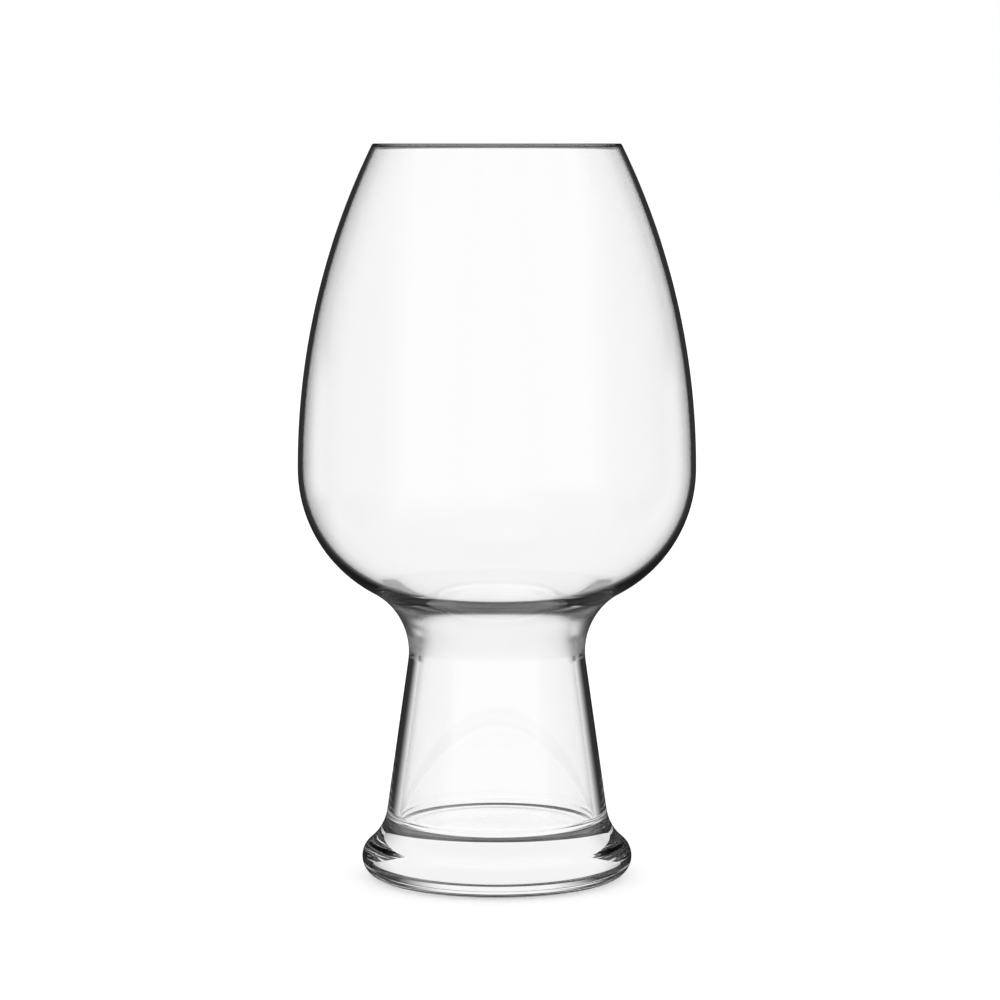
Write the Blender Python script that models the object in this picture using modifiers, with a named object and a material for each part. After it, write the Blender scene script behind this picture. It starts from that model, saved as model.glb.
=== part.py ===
"""Wheat beer glass: a blown bowl, a hollow flared stem and a heavy foot, fused on one axis.

Every piece is turned about the Z axis, which stands on the base plane Z = 0. Outside and inside are made
of circular arcs and one straight run along the stem. The glass is thin in the bowl's side and gets thicker
towards the neck and the foot. Lengths are in metres. A point of a profile is a pair: its radius and its
height.
"""
import math

import bpy

OBJECT_NAME = "wheat_beer_glass"

# Heights, each measured from the one before it, upwards from the base plane
FLOOR_THICKNESS = 0.0137
SEAT_RISE = 0.0039
STEM_LENGTH = 0.0418
NECK_TO_BELLY = 0.0482
BELLY_TO_RIM = 0.0844

# Outside diameters, and how far the foot stands out past the stem
RIM_DIAMETER = 0.0645
BELLY_DIAMETER = 0.1040
NECK_DIAMETER = 0.0463
STEM_BASE_DIAMETER = 0.0578
FOOT_OVERHANG = 0.0066

# Walls: the side and the lowest part of the bowl, and the stem at the neck and at its base
BOWL_WALL = 0.0013
BOWL_BOTTOM_WALL = 0.00265
NECK_WALL = 0.0032
STEM_BASE_WALL = 0.0034

# Rounds: outside of the neck, edge of the foot, throat between bowl and bore, corner of the floor
NECK_FILLET = 0.0181
FOOT_BEAD_RADIUS = 0.0052
THROAT_ROUND = 0.0120
FLOOR_FILLET = 0.0030

# Underside of the foot: the flat ring that it stands on, and the hollow inside that ring
CONTACT_RING_WIDTH = 0.0060
PUNT_DEPTH = 0.00066

# Gap that stands for a fused joint between two pieces of glass
FUSION_GAP = 0.0003

# Fineness of the solids: turned steps, and how far a chord may leave its arc
TURN_STEPS = 48
CHORD_ERROR = 0.00006
MERGE_DISTANCE = 0.00001

GLASS_COLOUR = (0.93, 0.95, 0.95, 1.0)
GLASS_ROUGHNESS = 0.02
GLASS_IOR = 1.52

# Heights of the joints and of the main lines, from the base plane
FLOOR_HEIGHT = FLOOR_THICKNESS
SEAT_HEIGHT = FLOOR_HEIGHT + SEAT_RISE
NECK_HEIGHT = SEAT_HEIGHT + STEM_LENGTH
BELLY_HEIGHT = NECK_HEIGHT + NECK_TO_BELLY
RIM_HEIGHT = BELLY_HEIGHT + BELLY_TO_RIM

RIM_RADIUS = RIM_DIAMETER / 2
BELLY_RADIUS = BELLY_DIAMETER / 2
NECK_RADIUS = NECK_DIAMETER / 2
STEM_BASE_RADIUS = STEM_BASE_DIAMETER / 2
FOOT_RADIUS = STEM_BASE_RADIUS + FOOT_OVERHANG

# The side of the bowl: an arc that stands upright at the belly and passes through the rim
SIDE_INSET = BELLY_RADIUS - RIM_RADIUS
SIDE_RADIUS = (BELLY_TO_RIM ** 2 + SIDE_INSET ** 2) / (2 * SIDE_INSET)
SIDE_CENTRE = (BELLY_RADIUS - SIDE_RADIUS, BELLY_HEIGHT)

# The bottom of the bowl: an arc that stands upright at the belly and runs smoothly into the neck's fillet,
# which stands upright at the neck
NECK_INSET = BELLY_RADIUS - NECK_RADIUS
BOTTOM_RADIUS = (NECK_TO_BELLY ** 2 + NECK_INSET ** 2) / (2 * NECK_INSET) - NECK_FILLET
BOTTOM_CENTRE = (BELLY_RADIUS - BOTTOM_RADIUS, BELLY_HEIGHT)
NECK_CENTRE = (NECK_RADIUS + NECK_FILLET, NECK_HEIGHT)
BOTTOM_END = math.atan2(NECK_CENTRE[1] - BOTTOM_CENTRE[1], NECK_CENTRE[0] - BOTTOM_CENTRE[0])

# The inside of that bottom: an arc that stands upright at the belly too, and leaves the thicker wall below
INNER_BOTTOM_RADIUS = BOTTOM_RADIUS - BOWL_BOTTOM_WALL
INNER_BOTTOM_CENTRE = (BELLY_RADIUS - BOWL_WALL - INNER_BOTTOM_RADIUS, BELLY_HEIGHT)

# The bore: a straight run between the walls at the neck and at the stem's base
BORE_SLOPE = (STEM_BASE_RADIUS - STEM_BASE_WALL - NECK_RADIUS + NECK_WALL) / STEM_LENGTH
BORE_FLARE = math.atan(BORE_SLOPE)


def stem_flare():
    """Angle of the stem's side to the axis: its straight run leaves the neck's fillet smoothly."""
    across = STEM_BASE_RADIUS - NECK_CENTRE[0]
    down = SEAT_HEIGHT - NECK_CENTRE[1]
    towards_base = math.atan2(down, across) % math.tau
    return towards_base - math.acos(NECK_FILLET / math.hypot(across, down)) - math.pi


STEM_FLARE = stem_flare()


def bore_radius(height, inset=0.0):
    """Radius of the bore at a height, or of a line that lies inset in the glass round it."""
    return NECK_RADIUS - NECK_WALL - (height - NECK_HEIGHT) * BORE_SLOPE + inset / math.cos(BORE_FLARE)


def bore_crossing(radius, inset):
    """Point below the belly where the bore's inset line crosses a circle about INNER_BOTTOM_CENTRE."""
    offset = bore_radius(BELLY_HEIGHT, inset) - INNER_BOTTOM_CENTRE[0]
    scale = 1 + BORE_SLOPE ** 2
    drop = (math.sqrt(scale * radius ** 2 - offset ** 2) - BORE_SLOPE * offset) / scale
    height = BELLY_HEIGHT - drop
    return bore_radius(height, inset), height


def arc(centre, radius, start, end):
    """Points along a circular arc, both ends included, as many as keep each chord close to the arc."""
    chord_angle = 2 * math.acos(max(1 - CHORD_ERROR / radius, 0.0))
    steps = max(1, math.ceil(abs(end - start) / chord_angle))
    angles = [start + (end - start) * step / steps for step in range(steps + 1)]
    return [(centre[0] + radius * math.cos(angle), centre[1] + radius * math.sin(angle)) for angle in angles]


def joined(*runs):
    """One profile from several runs of points, with no point twice where two runs meet."""
    points = []
    for point in (point for run in runs for point in run):
        if not points or math.dist(point, points[-1]) > MERGE_DISTANCE:
            points.append(point)
    return points


def bowl_profile():
    """Section of the bowl: down its outside to the neck, back up its inside, and over the rim."""
    inner_side = SIDE_RADIUS - BOWL_WALL
    rim_round = BOWL_WALL / 2
    mid_side = SIDE_RADIUS - rim_round
    rim_angle = math.asin((BELLY_TO_RIM - rim_round) / mid_side)
    rim_centre = (
        SIDE_CENTRE[0] + mid_side * math.cos(rim_angle),
        SIDE_CENTRE[1] + mid_side * math.sin(rim_angle),
    )
    throat_centre = bore_crossing(INNER_BOTTOM_RADIUS + THROAT_ROUND, THROAT_ROUND)
    throat_end = math.atan2(
        INNER_BOTTOM_CENTRE[1] - throat_centre[1],
        INNER_BOTTOM_CENTRE[0] - throat_centre[0],
    )
    return joined(
        arc(SIDE_CENTRE, SIDE_RADIUS, rim_angle, 0.0),
        arc(BOTTOM_CENTRE, BOTTOM_RADIUS, 0.0, BOTTOM_END),
        arc(NECK_CENTRE, NECK_FILLET, BOTTOM_END + math.pi, math.pi),
        [(bore_radius(NECK_HEIGHT), NECK_HEIGHT)],
        arc(throat_centre, THROAT_ROUND, math.pi + BORE_FLARE, throat_end),
        arc(INNER_BOTTOM_CENTRE, INNER_BOTTOM_RADIUS, throat_end - math.pi, 0.0),
        arc(SIDE_CENTRE, inner_side, 0.0, rim_angle),
        arc(rim_centre, rim_round, rim_angle + math.pi, math.pi / 2),
        arc(rim_centre, rim_round, math.pi / 2, rim_angle)[:-1],
    )


def stem_profile():
    """Section of the stem: down its outside from the neck to its seat on the foot, and back up the bore."""
    top = NECK_HEIGHT - FUSION_GAP
    top_angle = math.pi + math.asin(FUSION_GAP / NECK_FILLET)
    return joined(
        arc(NECK_CENTRE, NECK_FILLET, top_angle, math.pi + STEM_FLARE),
        [
            (STEM_BASE_RADIUS, SEAT_HEIGHT),
            (bore_radius(SEAT_HEIGHT), SEAT_HEIGHT),
            (bore_radius(top), top),
        ],
    )


def foot_profile():
    """Half section of the foot: along the floor, up to the seat, down the outside, back under the punt."""
    top = SEAT_HEIGHT - FUSION_GAP
    across, along = math.cos(STEM_FLARE), math.sin(STEM_FLARE)

    corner_round = min(FLOOR_FILLET, (top - FLOOR_HEIGHT) / (1 + math.sin(BORE_FLARE)))
    corner_height = FLOOR_HEIGHT + corner_round
    corner_centre = (bore_radius(corner_height, -corner_round), corner_height)

    bead_centre = (FOOT_RADIUS - FOOT_BEAD_RADIUS, FOOT_BEAD_RADIUS)
    reach = (STEM_BASE_RADIUS - bead_centre[0], SEAT_HEIGHT - bead_centre[1])
    outward = reach[0] * across + reach[1] * along
    fillet = (math.hypot(*reach) ** 2 - FOOT_BEAD_RADIUS ** 2) / (2 * (FOOT_BEAD_RADIUS - outward))
    fillet_centre = (STEM_BASE_RADIUS + fillet * across, SEAT_HEIGHT + fillet * along)
    fillet_start = math.pi + math.asin((fillet_centre[1] - top) / fillet)
    bead_start = math.atan2(fillet_centre[1] - bead_centre[1], fillet_centre[0] - bead_centre[0])

    punt_edge = bead_centre[0] - CONTACT_RING_WIDTH
    punt_radius = (punt_edge ** 2 + PUNT_DEPTH ** 2) / (2 * PUNT_DEPTH)
    punt_centre = (0.0, PUNT_DEPTH - punt_radius)
    punt_angle = math.atan2(-punt_centre[1], punt_edge)
    return joined(
        [(0.0, FLOOR_HEIGHT)],
        arc(corner_centre, corner_round, -math.pi / 2, BORE_FLARE),
        [(bore_radius(top), top)],
        arc(fillet_centre, fillet, fillet_start, bead_start + math.pi),
        arc(bead_centre, FOOT_BEAD_RADIUS, bead_start, 0.0),
        arc(bead_centre, FOOT_BEAD_RADIUS, 0.0, -math.pi / 2),
        arc(punt_centre, punt_radius, punt_angle, math.pi / 2)[:-1],
        [(0.0, PUNT_DEPTH)],
    )


def clear_glass(name):
    """Material of one piece: clear, colourless, polished glass."""
    material = bpy.data.materials.new(name)
    material.use_nodes = True
    shader = material.node_tree.nodes["Principled BSDF"]
    shader.inputs["Base Color"].default_value = GLASS_COLOUR
    shader.inputs["Roughness"].default_value = GLASS_ROUGHNESS
    shader.inputs["Metallic"].default_value = 0.0
    shader.inputs["IOR"].default_value = GLASS_IOR
    shader.inputs["Transmission Weight"].default_value = 1.0
    return material


def turned_piece(name, profile, base_height, closed, collection, parent):
    """Turn a profile about the axis into a piece whose origin is on the axis at base_height."""
    count = len(profile)
    vertices = [(radius, 0.0, height - base_height) for radius, height in profile]
    edges = [(index, index + 1) for index in range(count - 1)]
    if closed:
        edges.append((count - 1, 0))
    mesh = bpy.data.meshes.new(name)
    mesh.from_pydata(vertices, edges, [])
    mesh.materials.append(clear_glass(name + "_glass"))

    piece = bpy.data.objects.new(name, mesh)
    piece.parent = parent
    piece.location = (0.0, 0.0, base_height)
    collection.objects.link(piece)

    screw = piece.modifiers.new("turn", "SCREW")
    screw.axis = "Z"
    screw.angle = math.tau
    screw.steps = TURN_STEPS
    screw.render_steps = TURN_STEPS
    screw.use_smooth_shade = True
    screw.use_merge_vertices = True
    screw.merge_threshold = MERGE_DISTANCE
    return piece


def main():
    for leftover in list(bpy.data.objects):
        bpy.data.objects.remove(leftover, do_unlink=True)

    collection = bpy.data.collections.new(OBJECT_NAME)
    bpy.context.scene.collection.children.link(collection)
    axis = bpy.data.objects.new("turning_axis", None)
    axis.empty_display_size = FOOT_RADIUS
    collection.objects.link(axis)

    turned_piece("foot", foot_profile(), 0.0, False, collection, axis)
    turned_piece("stem", stem_profile(), SEAT_HEIGHT, True, collection, axis)
    turned_piece("bowl", bowl_profile(), NECK_HEIGHT, True, collection, axis)


main()
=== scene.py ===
"""Looks of the wheat beer glass: three turned pieces of clear glass on a bright studio stage.

Every piece is a profile carried round the Z axis. A profile is made of runs, and each row of a run is a point
and its outward direction: radius, height, and the same two parts of the normal. Lengths are in metres.
"""
import math
from collections import namedtuple
from types import SimpleNamespace

import bpy
import numpy as np
from bpy.props import FloatProperty, FloatVectorProperty, IntProperty, PointerProperty, StringProperty
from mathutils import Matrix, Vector


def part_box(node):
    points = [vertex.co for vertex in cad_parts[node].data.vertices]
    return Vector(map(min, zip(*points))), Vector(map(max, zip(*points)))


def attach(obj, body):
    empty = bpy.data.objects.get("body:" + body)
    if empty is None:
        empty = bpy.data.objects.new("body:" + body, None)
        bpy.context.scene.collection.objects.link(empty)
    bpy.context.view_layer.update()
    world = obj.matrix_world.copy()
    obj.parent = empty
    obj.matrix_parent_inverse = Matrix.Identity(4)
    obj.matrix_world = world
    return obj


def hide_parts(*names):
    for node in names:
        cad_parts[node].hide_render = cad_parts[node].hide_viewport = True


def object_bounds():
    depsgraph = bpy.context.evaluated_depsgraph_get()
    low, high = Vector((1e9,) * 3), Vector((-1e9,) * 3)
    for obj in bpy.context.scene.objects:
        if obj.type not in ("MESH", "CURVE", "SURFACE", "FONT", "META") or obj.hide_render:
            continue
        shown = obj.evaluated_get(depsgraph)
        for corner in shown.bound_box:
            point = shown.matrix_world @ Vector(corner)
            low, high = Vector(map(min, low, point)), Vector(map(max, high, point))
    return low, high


bl_info = {
    "name": "Wheat Beer Glass",
    "version": (1, 0, 0),
    "blender": (4, 5, 0),
    "location": "View3D > Sidebar > Glass",
    "description": "Builds a clear stemmed beer glass and the studio stage that it is shown on",
    "category": "Add Mesh",
}

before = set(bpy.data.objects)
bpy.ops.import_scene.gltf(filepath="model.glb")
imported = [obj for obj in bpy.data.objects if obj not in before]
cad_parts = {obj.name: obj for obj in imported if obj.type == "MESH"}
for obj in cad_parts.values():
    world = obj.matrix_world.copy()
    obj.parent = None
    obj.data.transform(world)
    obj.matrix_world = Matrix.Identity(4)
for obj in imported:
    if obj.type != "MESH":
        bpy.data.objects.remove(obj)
CAD_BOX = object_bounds()
BOWL_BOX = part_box("bowl")
STEM_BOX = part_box("stem")
FOOT_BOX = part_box("foot")

# A point of a profile that lies nearer to the axis than this is a pole
POLE_RADIUS = 1e-9
WHITE = (1.0, 1.0, 1.0, 1.0)
SENSOR_MILLIMETRES = 36.0
CLIP_START = 0.01
# A ray through both walls of the glass crosses many surfaces
LIGHT_BOUNCES = 32
MIRROR_BOUNCES = 16


def length(name, description, default):
    """A size in metres that a user may change."""
    return FloatProperty(name=name, description=description, default=default, min=0.0, precision=5,
                         unit="LENGTH", subtype="DISTANCE")


def factor(name, description, default):
    """A number from 0 to 1 that a user may change."""
    return FloatProperty(name=name, description=description, default=default, min=0.0, max=1.0,
                         subtype="FACTOR")


def colour(name, description, default):
    """A colour that a user may change."""
    return StringProperty(name=name, description=f"{description}, as an sRGB hex value", default=default)


def width(box):
    """Size of a box along X."""
    return box[1].x - box[0].x


class GlassSizes(bpy.types.PropertyGroup):
    """Sizes of the glass. Those that the boxes of the solids give are read from them."""

    rim_height: length("Rim height", "Top of the rim above the table", CAD_BOX[1].z)
    belly_height: length("Belly height", "Widest line of the bowl above the table", 0.1076)
    neck_height: length("Neck height", "Joint of bowl and stem above the table", BOWL_BOX[0].z)
    seat_height: length("Seat height", "Joint of stem and foot above the table", STEM_BOX[0].z)
    floor_height: length("Floor height", "Inside floor above the table", 0.0137)
    rim_diameter: length("Rim diameter", "Outside of the rim", 0.0645)
    # The tinted edge is glass painted grey for the rim's dark line: painted shade
    lip_height: length("Lip height", "Height of the tinted edge below the rim's round", 0.0005)
    belly_diameter: length("Belly diameter", "Outside of the bowl's widest line", width(BOWL_BOX))
    neck_diameter: length("Neck diameter", "Outside of the neck", 0.0463)
    stem_base_diameter: length("Stem base diameter", "Outside of the stem at the foot", width(STEM_BOX))
    foot_diameter: length("Foot diameter", "Outside of the foot's bead", width(FOOT_BOX))
    bowl_wall: length("Bowl wall", "Thickness of the bowl's side", 0.0013)
    bottom_wall: length("Bowl bottom wall", "Thickness of the lowest part of the bowl", 0.00265)
    neck_wall: length("Neck wall", "Thickness of the stem at the neck", 0.0032)
    base_wall: length("Stem base wall", "Thickness of the stem at its base", 0.0034)
    neck_fillet: length("Neck fillet", "Outside round between bowl and stem", 0.0181)
    bead_radius: length("Bead radius", "Round of the foot's edge", 0.0052)
    throat_round: length("Throat round", "Round between the bowl's inside and the bore", 0.0120)
    floor_fillet: length("Floor fillet", "Round in the corner of the inside floor", 0.0030)
    ring_width: length("Contact ring", "Width of the flat ring that the glass stands on", 0.0060)
    punt_depth: length("Punt depth", "Depth of the hollow under the foot", 0.00066)
    stipple_diameter: length("Stipple diameter", "Stippled middle of the hollow under the foot", 0.0430)
    spacing: length("Ring spacing", "Distance between two rings of a mesh along its profile", 0.0012)
    steps: IntProperty(name="Turned steps", description="Steps of a mesh round the axis", default=192, min=3)


class GlassFinish(bpy.types.PropertyGroup):
    """Finish of the glass."""

    tint: colour("Tint", "Colour of the glass", "FEFEFE")
    ior: FloatProperty(name="IOR", description="Index of refraction of soda-lime glass", default=1.52)
    wave_width: length("Wave width", "Width of the ripples that blowing leaves", 0.018)
    wave_height: length("Wave height", "Height of those ripples", 0.000004)
    # The rim's grey is painted shade: it draws the rim's dark line into the colour of the glass
    rim_painted_shade: colour("Rim tint", "Colour of the rim", "7A7A7A")
    throat_roughness: factor("Throat roughness", "Roughness of the throat", 0.2)
    stipple_roughness: factor("Stipple roughness", "Roughness of the stipple under the foot", 0.18)
    stipple_body: factor("Stipple body", "Share of light that the stipple bends or mirrors", 0.1)
    stipple_width: length("Stipple width", "Width of a dot of the stipple", 0.0006)
    stipple_height: length("Stipple height", "Height of a dot of the stipple", 0.00001)


class GlassStudio(bpy.types.PropertyGroup):
    """Camera and stage."""

    camera_place: FloatVectorProperty(name="Camera", description="Place of the camera", subtype="TRANSLATION",
                                      unit="LENGTH", default=(0.0, -0.95, 0.192))
    camera_aim: FloatVectorProperty(name="Aim", description="Point that the camera looks at",
                                    subtype="TRANSLATION", unit="LENGTH", default=(0.0008, 0.0, 0.0992))
    lens: FloatProperty(name="Lens", description="Focal length in millimetres", default=131.4, unit="CAMERA")
    ground_colour: colour("Ground", "Colour of the ground", "F7F7F7")
    ground_radius: length("Ground radius", "White ground that the glass stands on", 6.0)
    ground_drop: length("Ground drop", "Ground below the foot, so that the two don't meet", 0.0001)
    ground_steps: IntProperty(name="Ground steps", description="Steps of its edge", default=96, min=3)
    ground_lift: factor("Ground lift", "Light that the ground gives of itself", 0.25)
    room_light: factor("Room light", "Light from between the strips", 0.03)
    mirror_shortening: FloatProperty(name="Mirror shortening", default=1.6, min=1.0,
                                     description="Times less a strip reaches down in rays mirrored twice")


# Strips of white light that rays see through the glass. Each lies in the upright plane of one bearing, where
# 90 degrees is straight behind the glass. Across a strip the light is full up to its core and ends at its
# edge. Along it, angles count upwards from the level: the light is full from STRIP_LOW_FULL to high_full and
# ends at STRIP_LOW_END and at high_end
STRIP_CORE = math.radians(14)
STRIP_EDGE = math.radians(40)
STRIP_LOW_FULL = math.radians(-50)
STRIP_LOW_END = math.radians(-150)
# For a ray that the glass mirrors once, a cone about a strip's level middle is dark instead. It starts at the
# angle dark from that middle and is full within DARK_CORE times that angle. At the height dark_high there is
# none of it, and DARK_FADE below that all of it. Its share is shade for rays out of the glass and skin_shade
# for rays off its skin
DARK_CORE = 0.4
DARK_FADE = math.radians(10)
Strip = namedtuple("Strip", "bearing high_full high_end dark dark_high shade skin_shade")


def light_strip(*degrees, shade, skin_shade):
    """A strip from its angles in degrees and its two shares."""
    return Strip(*map(math.radians, degrees), shade, skin_shade)


STRIPS = (
    light_strip(90, 60, 110, 50, 110, shade=1.0, skin_shade=1.0),
    light_strip(135, -14, -10, 32, -8, shade=0.9, skin_shade=0.4),
    light_strip(-45, 10, 25, 38, -3, shade=0.7, skin_shade=0.2),
    light_strip(180, 60, 110, 38, 110, shade=1.0, skin_shade=0.2),
    light_strip(0, 60, 110, 38, 110, shade=1.0, skin_shade=0.2),
)
# Smooth steps from none to all. Level, rising and down are in the Z part of a ray's direction, back and ahead
# in its Y part, which points away from the camera
LEVEL_OR_FALLING = (0.2, 0.1)
RISING = (0.02, 0.1)
RISING_NOT_BACK = (-0.1, 0.3)
RISING_NOT_AHEAD = (0.85, 0.65)
SKIN_NOT_DOWN = (-0.6, -0.1)
SKIN_NOT_AHEAD = (0.75, 0.2)


def arc(centre, radius, start, end, spacing):
    """Run along a circle: the points centre + radius (cos a, sin a) for even steps of the angle a. The normal
    points out of the circle when the run is clockwise, and to its centre when it isn't."""
    count = max(2, math.ceil(abs(end - start) * radius / spacing) + 1)
    angles = np.linspace(start, end, count)
    outward = np.stack([np.cos(angles), np.sin(angles)], axis=1)
    return np.hstack([np.array(centre) + radius * outward, np.sign(start - end) * outward])


def straight(start, end, spacing):
    """Run along a straight line: the points start + t (end - start) for even steps of t. The normal is the
    run's direction turned a quarter to the left, which is out of the glass."""
    start, end = np.array(start), np.array(end)
    reach = np.linalg.norm(end - start)
    count = max(2, math.ceil(reach / spacing) + 1)
    points = start + np.linspace(0.0, 1.0, count)[:, None] * (end - start)
    direction = (end - start) / reach
    normal = np.array([-direction[1], direction[0]])
    return np.hstack([points, np.broadcast_to(normal, points.shape)])


def outline(sizes):
    """Circles and lines that the pieces share, worked out from the sizes.

    The bowl's side and bottom are circles that stand upright at the belly, the first through the rim, the
    second smoothly into the neck's fillet, and the stem's side is the line from its base that touches that
    fillet. Inside, a circle that stands upright at the belly leaves the bottom wall, and a line between the
    stem's two walls is the bore."""
    belly = sizes.belly_diameter / 2
    inset, rise = belly - sizes.rim_diameter / 2, sizes.rim_height - sizes.belly_height
    side_radius = (rise ** 2 + inset ** 2) / (2 * inset)
    neck = sizes.neck_diameter / 2
    inset, drop = belly - neck, sizes.belly_height - sizes.neck_height
    bottom_radius = (drop ** 2 + inset ** 2) / (2 * inset) - sizes.neck_fillet
    bottom_centre = (belly - bottom_radius, sizes.belly_height)
    inner_radius = bottom_radius - sizes.bottom_wall
    neck_centre = (neck + sizes.neck_fillet, sizes.neck_height)
    base = sizes.stem_base_diameter / 2
    across, down = base - neck_centre[0], sizes.seat_height - neck_centre[1]
    to_base = math.atan2(down, across) % math.tau
    flare = to_base - math.acos(sizes.neck_fillet / math.hypot(across, down)) - math.pi
    bore_slope = (base - sizes.base_wall - neck + sizes.neck_wall) / (sizes.neck_height - sizes.seat_height)
    return SimpleNamespace(
        side_radius=side_radius,
        side_centre=(belly - side_radius, sizes.belly_height),
        bottom_radius=bottom_radius,
        bottom_centre=bottom_centre,
        bottom_end=math.atan2(neck_centre[1] - bottom_centre[1], neck_centre[0] - bottom_centre[0]),
        inner_radius=inner_radius,
        inner_centre=(belly - sizes.bowl_wall - inner_radius, sizes.belly_height),
        neck=(neck, sizes.neck_height),
        neck_centre=neck_centre,
        base=base,
        flare=flare,
        bore_slope=bore_slope,
        bore_flare=math.atan(bore_slope),
    )


def bore(sizes, shape, height, inset=0.0):
    """Point of the bore at a height, or of a line that lies inset in the glass round it."""
    neck = shape.neck[0] - sizes.neck_wall
    return neck - (height - sizes.neck_height) * shape.bore_slope + inset / math.cos(shape.bore_flare), height


def bore_crossing(sizes, shape, radius, inset):
    """Point below the belly where the bore's inset line crosses a circle about the centre of the inside's
    bottom."""
    slope = shape.bore_slope
    offset = bore(sizes, shape, sizes.belly_height, inset)[0] - shape.inner_centre[0]
    scale = 1 + slope ** 2
    drop = (math.sqrt(scale * radius ** 2 - offset ** 2) - slope * offset) / scale
    return bore(sizes, shape, sizes.belly_height - drop, inset)


def turned(name, runs, sizes):
    """Carry a profile round the axis: the point (r cos a, r sin a, z) for each row (r, z) and each angle a.

    The runs, each a material and its rows, follow on from each other with the glass on their right. A profile
    that ends where it began gives a ring, one that begins and ends on the axis a body with two poles."""
    materials = list(dict.fromkeys(material for material, rows in runs))
    starts = np.concatenate([rows[:-1] for material, rows in runs])
    ends = np.concatenate([rows[1:] for material, rows in runs])
    slots = np.concatenate([np.full(len(rows) - 1, materials.index(material)) for material, rows in runs])
    closed = np.allclose(starts[0, :2], ends[-1, :2])
    points = starts[:, :2] if closed else np.vstack([starts[:, :2], ends[-1:, :2]])

    # A row has a vertex for every step round the axis, a pole has one
    turn = np.arange(sizes.steps) * math.tau / sizes.steps
    around = np.stack([np.cos(turn), np.sin(turn)], axis=1)
    pole = points[:, 0] < POLE_RADIUS
    held = np.where(pole, 1, sizes.steps)
    first = np.concatenate([[0], np.cumsum(held)[:-1]])
    numbers = first[:, None] + np.where(pole[:, None], 0, np.arange(sizes.steps))
    heights = np.broadcast_to(points[:, None, 1:], (*numbers.shape, 1))
    vertices = np.zeros((int(held.sum()), 3))
    vertices[numbers] = np.concatenate([points[:, None, :1] * around, heights], axis=2)

    # Corners of the faces between each row and the next, and the normals there
    upper, lower = numbers[:len(starts)], np.roll(numbers, -1, axis=0)[:len(starts)]
    corners = np.stack([upper, lower, np.roll(lower, -1, axis=1), np.roll(upper, -1, axis=1)], axis=2)

    def spun(rows):
        """Normals of the rows at every turned angle."""
        flat = rows[:, None, 2:3] * around
        return np.concatenate([flat, np.broadcast_to(rows[:, None, 3:], (*flat.shape[:2], 1))], axis=2)

    upper_normals, lower_normals = spun(starts), spun(ends)
    normals = np.stack([upper_normals, lower_normals, np.roll(lower_normals, -1, axis=1),
                        np.roll(upper_normals, -1, axis=1)], axis=2)

    # A face has four corners, or three at a pole
    upper_pole, lower_pole = pole[:len(starts)], np.roll(pole, -1)[:len(starts)]
    face_kinds = (
        (~upper_pole & ~lower_pole, [0, 1, 2, 3]),
        (upper_pole, [0, 1, 2]),
        (lower_pole, [0, 1, 3]),
    )
    faces, face_normals, face_slots = [], [], []
    for chosen, kept in face_kinds:
        faces += corners[chosen][:, :, kept].reshape(-1, len(kept)).tolist()
        face_normals.append(normals[chosen][:, :, kept].reshape(-1, 3))
        face_slots.append(np.repeat(slots[chosen], sizes.steps))

    mesh = bpy.data.meshes.new(name)
    mesh.from_pydata(vertices.tolist(), [], faces)
    for material in materials:
        mesh.materials.append(material)
    mesh.polygons.foreach_set("material_index", np.concatenate(face_slots).astype(np.int32))
    mesh.polygons.foreach_set("use_smooth", np.ones(len(faces), dtype=bool))
    mesh.normals_split_custom_set(np.concatenate(face_normals).tolist())
    mesh.update()
    piece = bpy.data.objects.new(name, mesh)
    bpy.context.scene.collection.objects.link(piece)
    return piece


def settle(piece, node):
    """The piece stands for the solid of that name, which it hides, and rides on the glass."""
    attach(piece, "root")
    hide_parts(node)


def linear(hex_value):
    """Linear colour of an sRGB hex value, by the curve of that standard."""
    encoded = np.array([int(hex_value[place:place + 2], 16) for place in (0, 2, 4)]) / 255
    decoded = np.where(encoded <= 0.04045, encoded / 12.92, ((encoded + 0.055) / 1.055) ** 2.4)
    return (*decoded.tolist(), 1.0)


def add_node(tree, kind, inputs=None, **settings):
    """Add a node with its settings. An input is a number, a colour or a socket to link."""
    node = tree.nodes.new(kind)
    for name, value in settings.items():
        setattr(node, name, value)
    for key, value in (inputs or {}).items():
        if isinstance(value, bpy.types.NodeSocket):
            tree.links.new(value, node.inputs[key])
        else:
            node.inputs[key].default_value = value
    return node


def new_tree(name):
    """A new material and its empty node tree."""
    material = bpy.data.materials.new(name)
    material.use_nodes = True
    material.node_tree.nodes.clear()
    return material, material.node_tree


def soda_lime(name, tint, ripple_width, ripple_height, roughness=0.0, body=1.0):
    """Soda-lime glass with a skin that carries low ripples. Body is the share of light that it bends or
    mirrors: the rest goes straight on."""
    found = bpy.data.materials.get(name)
    if found:
        return found
    material, tree = new_tree(name)
    place = add_node(tree, "ShaderNodeTexCoord").outputs["Object"]
    ripples = add_node(tree, "ShaderNodeTexNoise", {
        "Vector": place,
        "Scale": 1 / ripple_width,
        "Detail": 1.0,
    })
    bump = add_node(tree, "ShaderNodeBump", {
        "Height": ripples.outputs["Fac"],
        "Strength": 1.0,
        "Distance": ripple_height,
    })
    shader = add_node(tree, "ShaderNodeBsdfPrincipled", {
        "Base Color": linear(tint),
        "Roughness": roughness,
        "IOR": bpy.context.scene.glass_finish.ior,
        "Transmission Weight": 1.0,
        "Alpha": body,
        "Normal": bump.outputs["Normal"],
    })
    add_node(tree, "ShaderNodeOutputMaterial", {"Surface": shader.outputs["BSDF"]})
    return material


def blown_glass():
    """Blown and fire-polished glass: clear, colourless and smooth as water, with very low, broad ripples."""
    finish = bpy.context.scene.glass_finish
    return soda_lime("soda_lime_glass_fire_polished", finish.tint, finish.wave_width, finish.wave_height)


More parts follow.
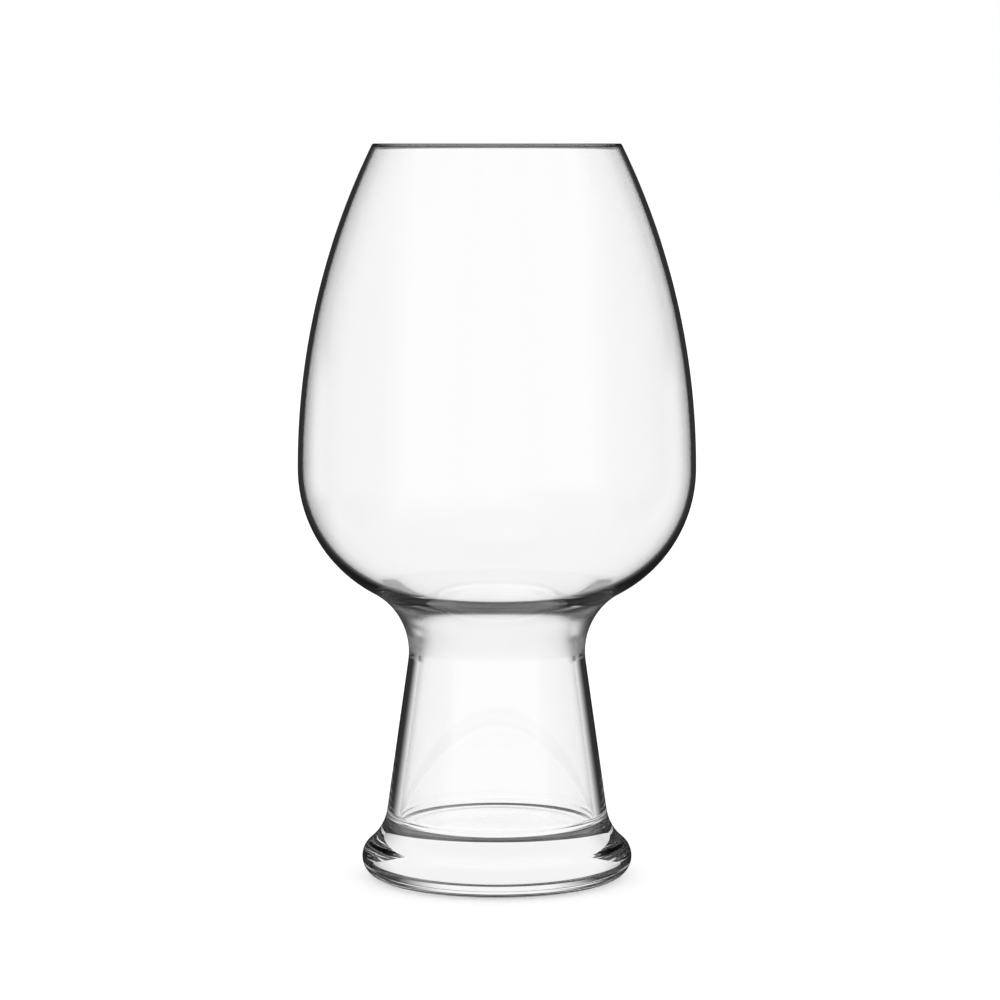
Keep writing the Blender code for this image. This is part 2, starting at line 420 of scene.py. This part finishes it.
def rim_glass():
    """Melted edge of the rim, tinted grey: painted shade that draws into the glass's colour the dark line the
    rim shows where the eye looks along the glass.
    """
    finish = bpy.context.scene.glass_finish
    return soda_lime("soda_lime_glass_rim_painted_shade", finish.rim_painted_shade, finish.wave_width, finish.wave_height)


def throat_glass():
    """Throat where the stem was fused on: tooled while hot, so less smooth, and what it bends looks soft."""
    finish = bpy.context.scene.glass_finish
    return soda_lime("soda_lime_glass_tooled", finish.tint, finish.wave_width, finish.wave_height,
                     finish.throat_roughness)


def base_glass():
    """Middle of the hollow under the foot, with a fine stipple from the mould: it spoils the mirror that
    clear glass has there, so the eye sees through the foot to the white below."""
    finish = bpy.context.scene.glass_finish
    return soda_lime("soda_lime_glass_stippled", finish.tint, finish.stipple_width, finish.stipple_height,
                     finish.stipple_roughness, finish.stipple_body)


def fused_joint():
    """Inside of a hot-fused joint, where the glass runs on unbroken: nothing shows."""
    found = bpy.data.materials.get("fused_joint")
    if found:
        return found
    material, tree = new_tree("fused_joint")
    shader = add_node(tree, "ShaderNodeBsdfTransparent")
    add_node(tree, "ShaderNodeOutputMaterial", {"Surface": shader.outputs["BSDF"]})
    return material


class GLASS_OT_bowl(bpy.types.Operator):
    """Make the egg-shaped bowl with its round rim"""

    bl_idname = "glass.bowl"
    bl_label = "Bowl"

    def execute(self, context):
        sizes = context.scene.glass_sizes
        shape = outline(sizes)
        inner_side = shape.side_radius - sizes.bowl_wall
        rim_round = sizes.bowl_wall / 2
        mid_side = shape.side_radius - rim_round
        rim_angle = math.asin((sizes.rim_height - sizes.belly_height - rim_round) / mid_side)
        rim_centre = (shape.side_centre[0] + mid_side * math.cos(rim_angle),
                      shape.side_centre[1] + mid_side * math.sin(rim_angle))
        lip_angle = rim_angle - sizes.lip_height / mid_side

        throat_round = sizes.throat_round
        throat_centre = bore_crossing(sizes, shape, shape.inner_radius + throat_round, throat_round)
        throat_end = math.atan2(shape.inner_centre[1] - throat_centre[1],
                                shape.inner_centre[0] - throat_centre[0])
        bore_low = bore(sizes, shape, sizes.neck_height)
        throat_low = bore(sizes, shape, throat_centre[1] - throat_round * math.sin(shape.bore_flare))

        clear, joint, rim, throat = blown_glass(), fused_joint(), rim_glass(), throat_glass()
        gap = sizes.spacing
        throat_gap, rim_gap = gap / 2, gap / 10
        runs = [
            (clear, arc(shape.side_centre, shape.side_radius, lip_angle, 0.0, gap)),
            (clear, arc(shape.bottom_centre, shape.bottom_radius, 0.0, shape.bottom_end, gap)),
            (clear, arc(shape.neck_centre, sizes.neck_fillet, shape.bottom_end + math.pi, math.pi, gap)),
            (joint, straight(shape.neck, bore_low, gap)),
            (throat, straight(bore_low, throat_low, gap)),
            (throat, arc(throat_centre, throat_round, math.pi + shape.bore_flare, throat_end, throat_gap)),
            (clear, arc(shape.inner_centre, shape.inner_radius, throat_end - math.pi, 0.0, gap)),
            (clear, arc(shape.side_centre, inner_side, 0.0, lip_angle, gap)),
            # These runs round the rim take the grey glass whose colour paints the rim's dark line as shade
            (rim, arc(shape.side_centre, inner_side, lip_angle, rim_angle, rim_gap)),
            (rim, arc(rim_centre, rim_round, rim_angle + math.pi, math.pi / 2, rim_gap)),
            (rim, arc(rim_centre, rim_round, math.pi / 2, rim_angle, rim_gap)),
            (rim, arc(shape.side_centre, shape.side_radius, rim_angle, lip_angle, rim_gap)),
        ]
        settle(turned("glass_bowl", runs, sizes), "bowl")
        return {"FINISHED"}


class GLASS_OT_stem(bpy.types.Operator):
    """Make the hollow, flared stem"""

    bl_idname = "glass.stem"
    bl_label = "Stem"

    def execute(self, context):
        sizes = context.scene.glass_sizes
        shape = outline(sizes)
        flare_start = (shape.neck_centre[0] + sizes.neck_fillet * math.cos(math.pi + shape.flare),
                       shape.neck_centre[1] + sizes.neck_fillet * math.sin(math.pi + shape.flare))
        seat = (shape.base, sizes.seat_height)
        bore_high, bore_low = bore(sizes, shape, sizes.neck_height), bore(sizes, shape, sizes.seat_height)
        clear, joint = blown_glass(), fused_joint()
        gap = sizes.spacing
        runs = [
            (clear, arc(shape.neck_centre, sizes.neck_fillet, math.pi, math.pi + shape.flare, gap)),
            (clear, straight(flare_start, seat, gap)),
            (joint, straight(seat, bore_low, gap)),
            (clear, straight(bore_low, bore_high, gap)),
            (joint, straight(bore_high, shape.neck, gap)),
        ]
        settle(turned("glass_stem", runs, sizes), "stem")
        return {"FINISHED"}


class GLASS_OT_foot(bpy.types.Operator):
    """Make the heavy foot with its bead edge, inside floor and punt"""

    bl_idname = "glass.foot"
    bl_label = "Foot"

    def execute(self, context):
        sizes = context.scene.glass_sizes
        shape = outline(sizes)
        top = sizes.seat_height
        across, along = math.cos(shape.flare), math.sin(shape.flare)

        corner = sizes.floor_fillet
        corner_centre = bore(sizes, shape, sizes.floor_height + corner, -corner)
        floor_edge = (corner_centre[0], sizes.floor_height)
        corner_end = bore(sizes, shape, corner_centre[1] + corner * math.sin(shape.bore_flare))

        bead = sizes.bead_radius
        bead_centre = (sizes.foot_diameter / 2 - bead, bead)
        reach = (shape.base - bead_centre[0], top - bead_centre[1])
        outward = reach[0] * across + reach[1] * along
        fillet = (math.hypot(*reach) ** 2 - bead ** 2) / (2 * (bead - outward))
        fillet_centre = (shape.base + fillet * across, top + fillet * along)
        fillet_start = math.pi + shape.flare
        bead_start = math.atan2(fillet_centre[1] - bead_centre[1], fillet_centre[0] - bead_centre[0])

        punt_edge = bead_centre[0] - sizes.ring_width
        punt_radius = (punt_edge ** 2 + sizes.punt_depth ** 2) / (2 * sizes.punt_depth)
        punt_centre = (0.0, sizes.punt_depth - punt_radius)
        punt_angle = math.atan2(-punt_centre[1], punt_edge)
        stipple_angle = math.acos(sizes.stipple_diameter / 2 / punt_radius)

        clear, joint, stipple = blown_glass(), fused_joint(), base_glass()
        gap = sizes.spacing
        corner_gap, fillet_gap, bead_gap = gap / 6, gap / 4, gap / 3
        runs = [
            (clear, straight((0.0, sizes.floor_height), floor_edge, gap)),
            (clear, arc(corner_centre, corner, -math.pi / 2, shape.bore_flare, corner_gap)),
            (clear, straight(corner_end, bore(sizes, shape, top), gap)),
            (joint, straight(bore(sizes, shape, top), (shape.base, top), gap)),
            (clear, arc(fillet_centre, fillet, fillet_start, bead_start + math.pi, fillet_gap)),
            (clear, arc(bead_centre, bead, bead_start, 0.0, bead_gap)),
            (clear, arc(bead_centre, bead, 0.0, -math.pi / 2, bead_gap)),
            (clear, straight((bead_centre[0], 0.0), (punt_edge, 0.0), gap)),
            (clear, arc(punt_centre, punt_radius, punt_angle, stipple_angle, gap)),
            (stipple, arc(punt_centre, punt_radius, stipple_angle, math.pi / 2, gap)),
        ]
        settle(turned("glass_foot", runs, sizes), "foot")
        return {"FINISHED"}


def white_ground(studio):
    """Matt white acrylic under even light: white to the eye, with the glass's soft shadow on it."""
    material, tree = new_tree("matt_white_acrylic")
    matt = add_node(tree, "ShaderNodeBsdfDiffuse", {"Color": linear(studio.ground_colour)})
    lift = add_node(tree, "ShaderNodeEmission", {"Color": WHITE, "Strength": studio.ground_lift})
    lit = add_node(tree, "ShaderNodeAddShader", {0: matt.outputs[0], 1: lift.outputs[0]})
    add_node(tree, "ShaderNodeOutputMaterial", {"Surface": lit.outputs[0]})
    return material


def ground_disc(studio):
    """Flat disc a hair below the glass: the points (r cos a, r sin a) of one turn. It is hidden from rays
    that the glass bends or mirrors, which see the room instead."""
    turn = np.arange(studio.ground_steps) * math.tau / studio.ground_steps
    radius, height = studio.ground_radius, np.full_like(turn, -studio.ground_drop)
    vertices = np.stack([radius * np.cos(turn), radius * np.sin(turn), height], axis=1)
    mesh = bpy.data.meshes.new("ground")
    mesh.from_pydata(vertices.tolist(), [], [list(range(studio.ground_steps))])
    mesh.materials.append(white_ground(studio))
    ground = bpy.data.objects.new("ground", mesh)
    bpy.context.scene.collection.objects.link(ground)
    ground.visible_transmission = False
    ground.visible_glossy = False


def window(tree, *spans, light=1.0):
    """Light within a window: the light times one smooth step for each span. A span is a socket and the two
    values between which its step goes from 0 to 1. For a count, whose values are whole, it is a yes or no."""
    for value, start, end in spans:
        limits = {"Value": value, "From Min": start, "From Max": end}
        step = add_node(tree, "ShaderNodeMapRange", limits, interpolation_type="SMOOTHSTEP").outputs[0]
        light = add_node(tree, "ShaderNodeMath", {0: light, 1: step}, operation="MULTIPLY").outputs[0]
    return light


def shaded(tree, light, shade):
    """Light less the share that a shade takes away: light times one minus shade."""
    left = add_node(tree, "ShaderNodeMath", {0: 1.0, 1: shade}, operation="SUBTRACT").outputs[0]
    return add_node(tree, "ShaderNodeMath", {0: light, 1: left}, operation="MULTIPLY").outputs[0]


def brightest(tree, *lights):
    """The brightest of several lights."""
    light = lights[0]
    for other in lights[1:]:
        light = add_node(tree, "ShaderNodeMath", {0: light, 1: other}, operation="MAXIMUM").outputs[0]
    return light


def level_part(tree, direction, bearing):
    """Part of a direction that points along a level bearing: their dot product."""
    axis = (math.cos(bearing), math.sin(bearing), 0.0)
    dot = add_node(tree, "ShaderNodeVectorMath", {0: direction, 1: axis}, operation="DOT_PRODUCT")
    return dot.outputs["Value"]


def bright_field(studio):
    """Bright-field room: it gives a ray white or dark by its direction and by how often the glass has bent
    and mirrored it, as white and black cards round the glass do, so that clear glass gets dark outlines.

    The camera and the ground see plain white. A ray that the glass only bends sees the strips. So does one
    that it mirrors twice or more, but for that they end sooner below, and from the third time on it sees them
    only above the level. A ray that the glass mirrors once sees the front light: white all round except for
    the strips' dark cones. Out of the glass, the front light is dark too for rays that rise to the sides, and
    off its skin for rays that fall or go straight ahead. It is white for a ray through more than one wall."""
    world = bpy.data.worlds.new("bright_field")
    world.use_nodes = True
    world.cycles.sampling_method = "NONE"
    tree = world.node_tree
    tree.nodes.clear()
    direction = add_node(tree, "ShaderNodeTexCoord").outputs["Generated"]
    parts = add_node(tree, "ShaderNodeSeparateXYZ", {0: direction}).outputs
    ahead, rise = parts["Y"], parts["Z"]
    path = add_node(tree, "ShaderNodeLightPath").outputs
    mirrored, bent = path["Glossy Depth"], path["Transmission Depth"]

    once = window(tree, (mirrored, 0, 1), (mirrored, 2, 1))
    inside = window(tree, (bent, 0, 1))
    shortening = add_node(tree, "ShaderNodeMapRange", {
        "Value": mirrored,
        "From Min": 1.0,
        "From Max": 2.0,
        "To Min": 1.0,
        "To Max": studio.mirror_shortening,
    }).outputs[0]
    strips, front = 0.0, 1.0
    for strip in STRIPS:
        near = level_part(tree, direction, strip.bearing)
        beside = level_part(tree, direction, strip.bearing + math.pi / 2)
        aside = add_node(tree, "ShaderNodeMath", {0: beside}, operation="ABSOLUTE").outputs[0]
        across = add_node(tree, "ShaderNodeMath", {0: aside}, operation="ARCSINE").outputs[0]
        along = add_node(tree, "ShaderNodeMath", {0: rise, 1: near}, operation="ARCTAN2").outputs[0]
        below = add_node(tree, "ShaderNodeMath", {0: along, 1: shortening}, operation="MULTIPLY").outputs[0]
        lit = window(tree, (across, STRIP_EDGE, STRIP_CORE), (below, STRIP_LOW_END, STRIP_LOW_FULL),
                     (along, strip.high_end, strip.high_full))
        strips = brightest(tree, strips, lit)
        shade = add_node(tree, "ShaderNodeMapRange", {
            "Value": inside,
            "To Min": strip.skin_shade,
            "To Max": strip.shade,
        }).outputs[0]
        cone = window(tree, (near, math.cos(strip.dark), math.cos(DARK_CORE * strip.dark)),
                      (along, strip.dark_high, strip.dark_high - DARK_FADE), light=shade)
        front = shaded(tree, front, cone)

    strips = shaded(tree, strips, window(tree, (mirrored, 2, 3), (rise, *LEVEL_OR_FALLING)))
    strips = shaded(tree, strips, once)
    rising = window(tree, (rise, *RISING), (ahead, *RISING_NOT_BACK), (ahead, *RISING_NOT_AHEAD),
                    light=inside)
    front = brightest(tree, shaded(tree, front, rising), window(tree, (bent, 2, 3)))
    skin = window(tree, (rise, *SKIN_NOT_DOWN), (ahead, *SKIN_NOT_AHEAD))
    front = shaded(tree, front, shaded(tree, window(tree, (bent, 1, 0)), skin))
    front = window(tree, (mirrored, 0, 1), (mirrored, 2, 1), light=front)
    on_ground = window(tree, (path["Diffuse Depth"], 0, 1))
    light = brightest(tree, studio.room_light, strips, front, on_ground, path["Is Camera Ray"])
    glow = add_node(tree, "ShaderNodeBackground", {"Color": WHITE, "Strength": light})
    add_node(tree, "ShaderNodeOutputWorld", {"Surface": glow.outputs[0]})
    return world


class GLASS_OT_stage(bpy.types.Operator):
    """Make the white ground, the bright-field room and the camera"""

    bl_idname = "glass.stage"
    bl_label = "Stage"

    def execute(self, context):
        scene, studio = context.scene, context.scene.glass_studio
        ground_disc(studio)
        scene.world = bright_field(studio)
        scene.view_settings.view_transform = "Standard"
        scene.cycles.max_bounces = LIGHT_BOUNCES
        scene.cycles.transmission_bounces = LIGHT_BOUNCES
        scene.cycles.transparent_max_bounces = LIGHT_BOUNCES
        scene.cycles.glossy_bounces = MIRROR_BOUNCES

        camera = bpy.data.objects.new("camera", bpy.data.cameras.new("camera"))
        camera.data.lens = studio.lens
        camera.data.sensor_width = SENSOR_MILLIMETRES
        camera.data.clip_start = CLIP_START
        camera.location = studio.camera_place
        aim = Vector(studio.camera_aim) - Vector(studio.camera_place)
        camera.rotation_euler = aim.to_track_quat("-Z", "Y").to_euler()
        scene.collection.objects.link(camera)
        scene.camera = camera
        return {"FINISHED"}


class GLASS_PT_panel(bpy.types.Panel):
    """Lists the pieces, the stage and what can be changed"""

    bl_idname = "GLASS_PT_panel"
    bl_label = "Wheat Beer Glass"
    bl_space_type = "VIEW_3D"
    bl_region_type = "UI"
    bl_category = "Glass"

    def draw(self, context):
        for operator in OPERATORS:
            self.layout.operator(operator.bl_idname)
        for name, group in GROUPS.items():
            column = self.layout.column(align=True)
            column.label(text=group.__doc__)
            for key in group.__annotations__:
                column.prop(getattr(context.scene, name), key)


GROUPS = {"glass_sizes": GlassSizes, "glass_finish": GlassFinish, "glass_studio": GlassStudio}
OPERATORS = (GLASS_OT_bowl, GLASS_OT_stem, GLASS_OT_foot, GLASS_OT_stage)
CLASSES = (*GROUPS.values(), *OPERATORS, GLASS_PT_panel)


def register():
    for kind in CLASSES:
        bpy.utils.register_class(kind)
    for name, group in GROUPS.items():
        setattr(bpy.types.Scene, name, PointerProperty(type=group))


def unregister():
    for name in GROUPS:
        delattr(bpy.types.Scene, name)
    for kind in reversed(CLASSES):
        bpy.utils.unregister_class(kind)


def main():
    register()
    bpy.ops.glass.bowl()
    bpy.ops.glass.stem()
    bpy.ops.glass.foot()
    bpy.ops.glass.stage()


if __name__ == "__main__":
    main()
